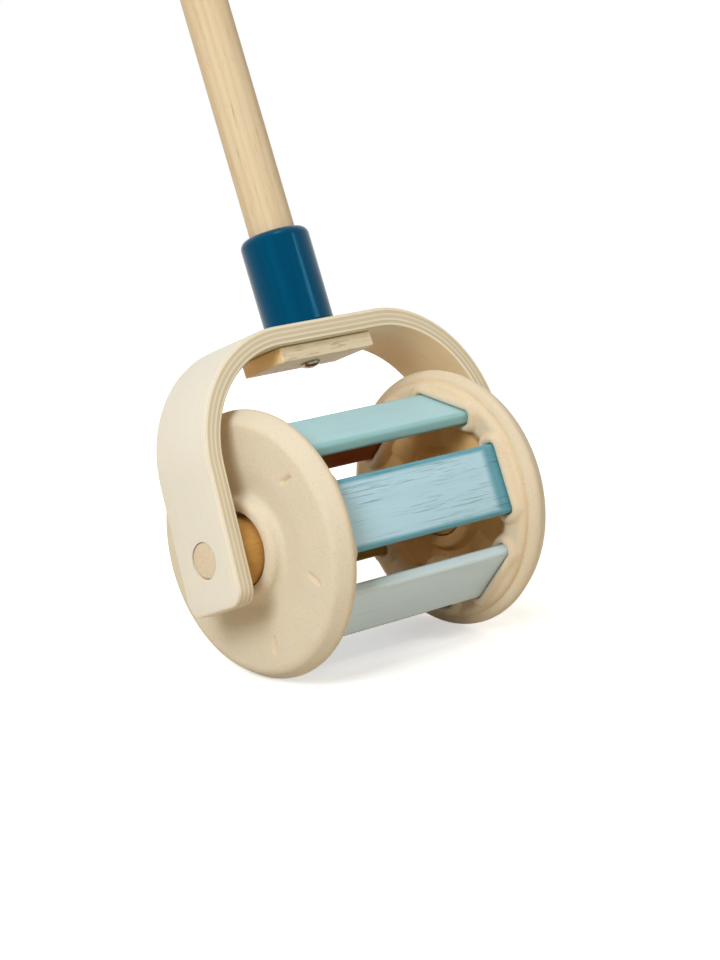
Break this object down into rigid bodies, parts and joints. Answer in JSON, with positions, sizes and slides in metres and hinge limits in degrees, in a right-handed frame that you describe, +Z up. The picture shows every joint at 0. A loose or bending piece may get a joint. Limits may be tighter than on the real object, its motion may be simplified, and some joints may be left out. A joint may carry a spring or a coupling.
{
  "type": "toddler push toy",
  "caption": "Wooden push toy: a slatted roller with a loose ball inside turns in a bent plywood fork on a long stick with a round knob.",
  "frame": {"origin": "on the floor under the middle of the toy's bounding box; the roller's axis runs along X, 56.5 mm above the floor", "axes": "+X along the axle towards the right-hand disc, +Y the way the stick leans back from the roller, +Z up"},
  "size_m": [0.173, 0.2931, 0.5631],
  "materials": {
    "birch_ply": "clear satin lacquer over birch plywood",
    "pale_dowel_wood": "clear satin lacquer over straight-grained dowel",
    "axle_wood": "bare sanded dowel",
    "block_wood": "bare sawn wood",
    "pressed_wood": "moulded composite of wood dust, smooth with fine specks",
    "deep_blue_paint": "deep blue gloss paint on turned wood",
    "sky_blue_paint": "water-based matt paint, open grain showing",
    "teal_paint": "water-based matt paint",
    "rust_paint": "water-based matt paint",
    "ochre_paint": "water-based matt paint",
    "navy_paint": "water-based matt paint",
    "grey_paint": "water-based matt paint",
    "ball_wood": "bare turned wood",
    "nickel_steel": "bright nickel plate",
    "insert_brass": "plain turned brass"
  },
  "bodies": {
    "frame": {"plywood_fork": "birch_ply", "stick": "pale_dowel_wood", "neck_sleeve": "deep_blue_paint", "handle_knob": "deep_blue_paint", "clamp_block": "block_wood", "clamp_screw": "nickel_steel", "threaded_insert": "insert_brass", "axle_dowel": "axle_wood", "left_collar": "axle_wood", "right_collar": "axle_wood"},
    "drum": {"left_disc": "pressed_wood", "right_disc": "pressed_wood", "slat_sky_blue": "sky_blue_paint", "slat_teal": "teal_paint", "slat_rust": "rust_paint", "slat_ochre": "ochre_paint", "slat_deep_blue": "navy_paint", "slat_grey": "grey_paint"},
    "ball": {"rattle_ball": "ball_wood"}
  },
  "joints": [
    {"name": "drum_spin", "type": "hinge", "parent": "frame", "child": "drum", "pos_m": [0, -0.09008, 0.0565], "axis": [1, 0, 0], "continuous": true},
    {"name": "ball_tumble", "type": "hinge", "parent": "frame", "child": "ball", "pos_m": [0, -0.09008, 0.0565], "axis": [1, 0, 0], "continuous": true}
  ]
}
